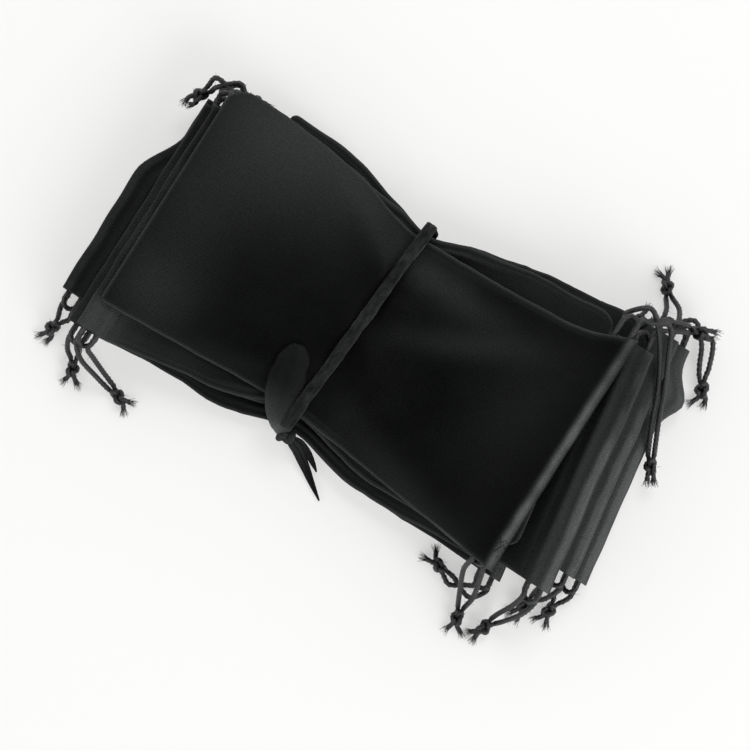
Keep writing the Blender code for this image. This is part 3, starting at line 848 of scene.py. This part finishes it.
def string_path(pouch, hand, sign):
    """A drawstring's centre line from knot to knot, with how much braid shows at each point."""
    legs, loop, knot, heading = string_route(pouch, hand, sign)
    path, shown = [], []
    for points, seen in ((legs[0][::-1], 1.0), ([legs[0][0], loop[0]], 0.0), (loop, 1.0),
                         ([loop[-1], legs[1][0]], 0.0), (legs[1], 1.0)):
        for point in resample(points, SHOWN_STEP if seen else HIDDEN_STEP):
            if not path or (point - path[-1]).length > 0.05:
                path.append(point)
                shown.append(seen)
    path = [settle(pull_corner(pouch, p)) for p in path]
    return path, shown, settle(pull_corner(pouch, knot)), heading


def knot_path(size, radius, twist, mirror):
    """Centre line of a pulled-tight overhand knot, in its own frame."""
    points = []
    for n in range(KNOT_STEPS):
        t = math.tau * n / KNOT_STEPS
        x = (math.sin(t) + 2 * math.sin(2 * t)) / 3 * (size[0] - radius)
        y = (math.cos(t) - 2 * math.cos(2 * t)) / 3 * (size[1] - radius)
        z = -math.sin(3 * t) * (size[2] - radius)
        points.append(Matrix.Rotation(twist, 3, "X") @ Vector((x, y * mirror, z)))
    return points


def tied_knot(knot, heading, across, ends, radius, chance):
    """The wraps of a knot, with the cord's two legs running into it."""
    wraps = Collector()
    axes = Matrix((heading, across, heading.cross(across))).transposed()
    size = [k * chance.uniform(1.0, 1.12) for k in KNOT]
    turned = knot_path(size, radius, chance.uniform(-0.25, 0.25), chance.choice((-1, 1)))
    wraps.add([knot + axes @ p for p in turned], rope_surface(radius * 0.97), BRAID_SIDES, closed=True)
    for end in ends:
        inward = resample([end, end + (knot - end) * 0.45, knot], 0.4)
        wraps.add(inward, rope_surface(radius * 0.94), BRAID_SIDES)
    return wraps


def knot_tail(knot, heading, across, lean, radius, chance):
    """One of the two short cord ends beyond a knot."""
    on_table = knot.z < LYING
    ahead = Matrix.Rotation(lean * (TAIL_SPREAD + chance.uniform(-0.18, 0.15)), 3, "Z") @ heading
    long = TAIL_LENGTH * chance.uniform(0.75, 1.1)
    start = knot + ahead * 1.2
    tip = knot + ahead * (1.5 + long)
    tip.z = radius + 0.1 if on_table else knot.z - 1.0
    bend = start.lerp(tip, 0.5) + across * chance.uniform(-1.0, 1.0)
    bend.z = (start.z + 2 * tip.z) / 3 if on_table else knot.z
    return resample(curve_through([start, bend, tip], 0.6), SHOWN_STEP)


def string(pouch, hand, sign):
    """A drawstring with its knot and frayed ends. sign is +1 at +Y."""
    name = f"{pouch.name}_{hand}"
    chance = random.Random(name)
    path, shown, knot, heading = string_path(pouch, hand, sign)
    radius = CORD / 2
    rope, threads = Collector(), Collector()
    rope.add(path, lambda a, ring, walked: braid_radius(radius, a, walked, shown[ring]), BRAID_SIDES)
    across = UP.cross(heading).normalized()
    wraps = tied_knot(knot, heading, across, (path[0], path[-1]), radius, chance)
    for lean in (-1, 1):
        tail = knot_tail(knot, heading, across, lean, radius, chance)
        wraps.add(tail, rope_surface(radius * 0.95), BRAID_SIDES)
        fray(threads, tail, radius, chance)
    legs = [p for p, seen in zip(path, shown) if seen]
    whiskers(threads, legs, radius, WHISKERS[0], chance)
    whiskers(threads, [knot] * 2, KNOT[1], WHISKERS[1], chance)
    cord, tied, frayed = (
        piece(f"{name}_{part}", tubes.points, tubes.faces, BRAID, f"{name}_string")
        for part, tubes in (("cord", rope), ("tied_knot", wraps), ("frayed_ends", threads)))
    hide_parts(f"{name}_drawstring")
    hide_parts(f"{name}_knot")
    line = [row(p) for p in path]
    round(lengths_along(line)[-1], 3)


def strand(root, reach, curl, count):
    """A thread's path in count steps: straight towards reach, bent by curl, kept off the table."""
    spots = [root + reach * q / count + curl * (q / count) ** 2 for q in range(count + 1)]
    return [Vector((p.x, p.y, max(p.z, THREAD_LOW))) for p in spots]


def any_way(chance, most):
    return Vector([chance.uniform(-most, most) for _ in range(3)])


def whiskers(threads, spots, radius, count, chance):
    """Short stray fibres standing off a cord."""
    for _ in range(count):
        out = Vector([chance.gauss(0, 1) for _ in range(3)]).normalized()
        root = chance.choice(spots) + out * radius * 0.85
        curl = any_way(chance, 0.6)
        path = strand(root, out * chance.uniform(0.5, 1.7), curl, 3)
        threads.add(path, lambda a, ring, w: 0.075 - 0.015 * ring, 3)


def fray(threads, tail, radius, chance):
    """Loose yarns at a cord's cut end."""
    tip, ahead = tail[-1], (tail[-1] - tail[-3]).normalized()
    right = ahead.cross(UP).normalized()
    up = right.cross(ahead)
    for _ in range(YARNS):
        angle, off = chance.uniform(0, math.tau), radius * math.sqrt(chance.random()) * 0.85
        out = right * math.cos(angle) + up * math.sin(angle)
        start = tip + out * off - ahead * 0.6
        spread = chance.uniform(0.1, 0.75) * off / radius
        long = chance.uniform(1.2, 4.2)
        way = (ahead + out * spread).normalized()
        path = strand(start, way * long, any_way(chance, 0.5), 3)
        threads.add(path, lambda a, ring, w: 0.11 - 0.022 * ring, 3)


# ---- tie
TIE_SHIFT = -1.9         # how far the band lies to the left of its plane on top
BAND_STEP = 0.85         # spacing of the band's points round the pile
STRIP_ROWS = 15          # points across a strip

# The band's folded cross-section, as (across, lift) in shares of its half width and thickness.
FOLDED_STRIP = ((-0.72, 1), (-0.2, 1.05), (0.4, 0.95), (0.85, 0.9), (1, 1.25), (0.8, 1.7), (0.4, 1.9),
                (0, 2), (-0.4, 1.95), (-0.8, 1.75), (-1, 1.2), (-1, 0.7), (-0.8, 0.25), (-0.3, 0.1),
                (0.3, 0.1), (0.9, 0.2))


def tie_band():
    inner = rounded_loop([TIE_SIDES[0], GAP / 2 + TIE_CLOTH], [TIE_SIDES[1], tie_top() + GAP], 2.5)
    corners = [Vector((0, y, z)) for y, z in inner]
    ring = resample(corners + [corners[0]], BAND_STEP)[:-1]
    section = resample(curve_through([Vector((a, b, 0)) for a, b in FOLDED_STRIP], 0.12), 0.16)
    turn = Matrix.Rotation(TIE_TURN, 3, "Z")
    points, wear, count = [], [], len(ring)
    for i, here in enumerate(ring):
        ahead = (ring[(i + 1) % count] - ring[i - 1]).normalized()
        out = Vector((0, ahead.z, -ahead.y))
        high = smooth((here.z - 2) / 6)
        walked = BAND_STEP * i
        half_wide = (TIE_WIDTH / 2) * (0.9 + 0.25 * wave(walked / 13, 3.3) * high)
        half_thick = 0.3 + high * (0.42 + 0.15 * wave(walked / 9, 8.1))
        bend = TIE_SHIFT * high + 0.6 * wave(walked / 22, 5.5) * high
        lean = 0.3 * wave(walked / 15, 9.4) * high
        for k, spot in enumerate(section):
            crease = high * (0.2 * wave(walked / 7, k / 5.0, 2.2) + 0.12 * wave(walked / 2, k / 3.0, 6.2))
            across = spot.x * half_wide * (1 + 0.5 * crease)
            lift = 0.15 + spot.y * half_thick * (1 + crease) + max(0.0, lean * spot.x)
            place_at = here + out * lift
            points.append(turn @ Vector((bend + across, place_at.y, place_at.z)))
            # Paler nap all along the band, a painted highlight on its folded edges, and noise that stands
            # in for the light and shade of its crumples.
            crumple_light_and_shade = max(0.1, 1 + 0.9 * wave(walked / 3, k / 3.0, 1.3) + 0.7 * wave(walked / 14, 0.0, 7.7))
            wear.append((0.22 if abs(spot.x) > 0.9 else 0.13) * crumple_light_and_shade)
    size, faces = len(section), []
    for i in range(count):
        for k in range(size - 1):
            a, c = i * size + k, (i + 1) % count * size + k
            faces.append((a, a + 1, c + 1, c))
    made = piece("tie_band_cloth", points, faces, TIE_FINISH, "bundle", wear)
    solidify(made, 0.3)
    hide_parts("tie_band")
    return made


def strip(name, spots, crown, fold, stands_for=None, root_highlight=0.1):
    """A tapered, creased strip of cloth. Each spot is its centre's x, y, z and its half width."""
    middles = [Vector(spot[:3]) for spot in spots]
    centres, reached = curve_through(middles, 0.7), lengths_along(middles)
    count = len(centres)
    points, wear = [], []
    for i, centre in enumerate(centres):
        half = read(reached, [spot[3] for spot in spots], reached[-1] * i / (count - 1))
        ahead = centres[min(i + 1, count - 1)] - centres[max(i - 1, 0)]
        across = UP.cross(ahead).normalized()
        for j in range(STRIP_ROWS):
            v = 2 * j / (STRIP_ROWS - 1) - 1
            edge_wave = 0.06 * wave(i / 6, v * 2, 4.4) * half
            rise = crown * (1 - v * v) - fold * math.exp(-((v - 0.25) / 0.16) ** 2)
            rise *= min(1.0, half / 2.0)
            spot = centre + across * (half * v + edge_wave) + UP * rise
            spot.z = max(spot.z, CLOTH)
            points.append(spot)
            # Painted highlight near the strip's root at the knot, paler on one side and along its edges,
            # for the light falling from that side.
            lit_near_root = smooth(1.1 - 1.7 * i / count)
            wear.append(lit_near_root * (0.25 * abs(v) ** 6 + root_highlight * (0.55 + 0.45 * v)) + 0.03)
    faces = grid_faces(count, STRIP_ROWS)
    made = piece(name, points, faces, TIE_FINISH, "bundle", wear)
    solidify(made, 0.5)
    if stands_for:
        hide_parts(stands_for)
    return made


def tie_knot():
    centre = Vector((-4.0, TIE_SIDES[0] - TIE_CLOTH - 2.6, 9.0))
    lumps = Collector()

    def surface(angle, ring, walked):
        lumpy = 0.14 * math.cos(3 * angle + walked / 3)
        return 1.55 * (1 + lumpy + 0.25 * wave(walked / 2.2, angle * 1.3, 6.1))

    wraps = knot_path((4.6, 4.6, 2.7), 1.5, 0.5, 1)
    turn = Matrix(((1, 0, 0), (0, 0, 1), (0, 1, 0)))
    lumps.add([centre + turn @ p for p in wraps], surface, 18, closed=True)
    made = piece("tie_knot_cloth", lumps.points, lumps.faces, TIE_FINISH, "bundle",
                 [0.2] * len(lumps.points))
    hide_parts("tie_knot")
    return made


def build_tie():
    band = tie_band()
    knot = tie_knot()
    top = tie_top() + 1.2
    flap = strip("tie_flap_cloth",
                 ((-5, -54.6, 12, 2.6), (-6.2, -53.2, 15, 3.4), (-7.6, -51.4, top - 2.4, 4.6),
                  (-10.2, -47.4, top - 1.4, 6.2), (-12.8, -41, top - 1.3, 7.6),
                  (-14.6, -34, top - 1.3, 7.7), (-16.2, -28, top - 1.4, 6.6),
                  (-17.3, -24.4, top - 1.6, 4.4), (-18, -22.2, top - 1.8, 1.8)),
                 1.4, 0.4, "tie_flap", 0.6)
    tail = strip("tie_tail_cloth",
                 ((-1.5, -55.6, 9.5, 1.4), (0.8, -56.6, 8, 1.9), (4.2, -58.2, 5, 2.1),
                  (9.5, -61.8, 2.2, 1.8), (15.5, -66.2, 0.9, 1.1), (21.5, -70.3, 0.7, 0.2)),
                 0.7, 0.6, "tie_tail")
    bit = strip("tie_end_cloth",
                ((-1, -54.9, 8, 1.2), (3, -55, 5.5, 1.6), (7.5, -56.6, 3.4, 1.5),
                 (12, -59.4, 2.2, 0.9), (14.5, -61.2, 1.8, 0.2)), 0.4, 0.3)


# ---- stitches
STITCH_PITCH = 2.6       # from one stitch to the next
STITCH_LONG = 1.9
LOOSE_THREADS = 14       # at the top pouch's mouth


def stitches(pouch):
    """The line of thread that closes the front panel's hem."""
    layer = LAYERS[f"{pouch.name}_front_panel"]
    thread = Collector()
    seed = POUCHES.index(pouch)
    half_space = half_width(layer.mouth)
    x = layer.mouth - pouch.side * STITCH_LINE
    rise = 2.45 if pouch is TOP_POUCH else CLOTH * 1.6 + 0.12
    for n in range(int(2 * (half_space - 2) / STITCH_PITCH)):
        y = middle(pouch, x) - half_space + 2 + n * STITCH_PITCH
        path = []
        for q in range(7):
            s = q / 6
            spot_y = y + STITCH_LONG * s
            f = (spot_y - middle(pouch, x) + half_space) / (2 * half_space)
            z = layer.under(x, f) + rise - 0.32 * (2 * s - 1) ** 4 + 0.02 * wave(n, seed)
            path.append(settle(pull_corner(pouch, Vector((plan(pouch, x, spot_y), spot_y, z)))))
        thread.add(path, lambda a, ring, w: 0.14, 6)
    if pouch is TOP_POUCH:
        chance = random.Random(8)
        start = settle(Vector((layer.mouth - 1.5, -45, layer.height(layer.mouth, -1) + HEM)))
        for _ in range(LOOSE_THREADS):
            way = Vector([chance.uniform(*limits) for limits in ((-1, 0.6), (-1.2, 0.7), (0.1, 0.5))])
            root = start + Vector((chance.uniform(-1, 1), chance.uniform(-2.5, 2.5), -0.6))
            curl = any_way(chance, 1.2)
            path = strand(root, way.normalized() * chance.uniform(2, 6), curl, 4)
            thread.add(path, lambda a, ring, w: 0.13 - 0.02 * ring, 4)
    return piece(f"{pouch.name}_hem_stitches", thread.points, thread.faces, POUCH_CLOTH, "bundle")


def build_pouches():
    """All the pouches, from the table up. Each panel rests on the one before."""
    for pouch in POUCHES:
        cloths = [panel(pouch, front, *(FINE if front and pouch is TOP_POUCH else COARSE))
                  for front in (False, True)]
        thread = stitches(pouch)
        for hand, sign in (("left", 1), ("right", -1)):
            string(pouch, hand, sign)


# ---- floor, light and camera
FLOOR_SIZE = 6.0
FLOOR_DROP = 0.0002              # the floor lies just under the pile, so that they don't share a face
WALL, CEILING = 1.75, 0.015      # brightness of the walls all round, and of what is overhead
PICTURE_WIDTH = 0.2918           # what the camera's frame spans at the pile
CAMERA_HEIGHT = 1.1
PILE_PLANE = 0.022
SENSOR = 36.0
LOOK_AT = (0.0019, -0.0099)
IMAGE_RIGHT = Vector((0.845, 0.536, 0)).normalized()


def floor():
    """A pale floor with a little light of its own, which keeps its shadow faint."""
    made, _ = material("studio_floor", {
        "Base Color": (0.42, 0.42, 0.417, 1), "Emission Color": (1.0, 0.995, 0.985, 1),
        "Emission Strength": 0.47, "Roughness": 0.9, "Specular IOR Level": 0.1})
    bpy.ops.mesh.primitive_plane_add(size=FLOOR_SIZE, location=(0, 0, -FLOOR_DROP))
    plane = bpy.context.object
    plane.name = "studio_floor"
    plane.data.materials.append(made)


def add_to_scene(name, data, spot, turn):
    made = bpy.data.objects.new(name, data)
    bpy.context.scene.collection.objects.link(made)
    made.location = spot
    made.rotation_mode = "QUATERNION"
    made.rotation_quaternion = turn
    return made


def camera():
    """Straight above the pile, turned so that the picture's right is IMAGE_RIGHT."""
    data = bpy.data.cameras.new("camera")
    data.sensor_width = SENSOR
    data.lens = SENSOR * (CAMERA_HEIGHT - PILE_PLANE) / PICTURE_WIDTH
    data.clip_end = 20.0
    turn = Matrix((IMAGE_RIGHT, UP.cross(IMAGE_RIGHT), UP)).transposed().to_quaternion()
    bpy.context.scene.camera = add_to_scene("camera", data, (*LOOK_AT, CAMERA_HEIGHT), turn)


def window(name, spot, size, power):
    """A round window's light, aimed at the pile."""
    data = bpy.data.lights.new(name, "AREA")
    data.shape = "DISK"
    data.size = size
    data.energy = power
    add_to_scene(name, data, spot, (Vector(spot) - Vector((0, 0, 0.02))).to_track_quat("Z", "Y"))


def studio_world():
    """Bright white walls all round, and a dim ceiling that flat black cloth mirrors."""
    world = bpy.data.worlds.new("studio")
    world.use_nodes = True
    tree = world.node_tree
    way = node(tree, "TexCoord", "Generated")
    up = node(tree, "SeparateXYZ", "Z", {"Vector": way})
    strength = node(tree, "MapRange", "Result",
                    {"Value": up, "From Min": 0.4, "From Max": 0.85, "To Min": WALL, "To Max": CEILING},
                    interpolation_type="SMOOTHSTEP")
    tree.links.new(strength, tree.nodes["Background"].inputs["Strength"])
    tree.nodes["Background"].inputs["Color"].default_value = (1, 1, 1, 1)
    bpy.context.scene.world = world


build_pouches()
build_tie()
floor()
camera()
window("window", (2.1, -0.9, 1.6), 1.6, 40.0)
window("far_window", (-0.35, 1.5, 2.0), 1.1, 20.0)
studio_world()
bpy.context.scene.view_settings.view_transform = "Standard"
